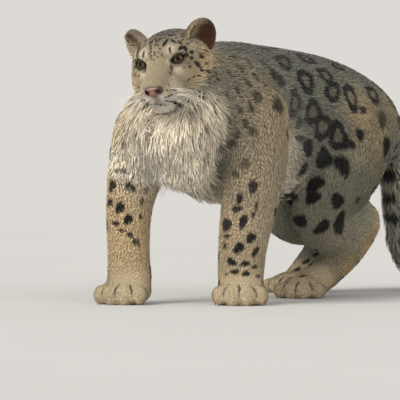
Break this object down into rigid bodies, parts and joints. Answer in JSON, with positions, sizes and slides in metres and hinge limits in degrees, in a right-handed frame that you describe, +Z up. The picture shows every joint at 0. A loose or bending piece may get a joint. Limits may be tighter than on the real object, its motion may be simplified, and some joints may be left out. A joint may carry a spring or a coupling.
{
  "type": "snow leopard, life-size still model",
  "caption": "Life-size snow leopard standing with its hindquarters gathered, head turned, long tail curled along the floor, with a deep ruff and coat in locks.",
  "frame": {"origin": "middle of the whole box in plan, on the floor", "axes": "+Z up; -Y towards the head, +Y towards the tail; +X to the animal's left"},
  "size_m": [0.6902, 1.0784, 0.6227],
  "materials": {
    "torso": "dense soft fur, smoke grey with a cool cast, dark rosettes",
    "neck": "long soft fur, cream and tan",
    "chest": "long soft fur in locks, cream white with warm tan",
    "head": "short fur, grey and tan with small black spots, white chin",
    "ear": "short fur, brown inside, black rim",
    "eye": "glossy model eye, pale yellow green iris, dark rim",
    "nose": "bare pink brown nose leather, slightly moist",
    "foreleg": "short fur, tan with dark spots",
    "hindleg": "dense fur, grey with dark filled spots",
    "paw": "short dense fur, pale tan",
    "tail": "long thick fur, grey with dark rings"
  },
  "bodies": {
    "root": {"torso": "torso", "neck": "neck", "chest": "chest", "head": "head", "left_ear": "ear", "right_ear": "ear", "left_eye": "eye", "right_eye": "eye", "nose": "nose", "left_foreleg": "foreleg", "right_foreleg": "foreleg", "left_hindleg": "hindleg", "right_hindleg": "hindleg", "left_fore_paw": "paw", "right_fore_paw": "paw", "left_hind_paw": "paw", "right_hind_paw": "paw", "tail_root": "tail", "tail_bend": "tail", "tail_middle": "tail", "tail_tip": "tail"}
  },
  "joints": []
}
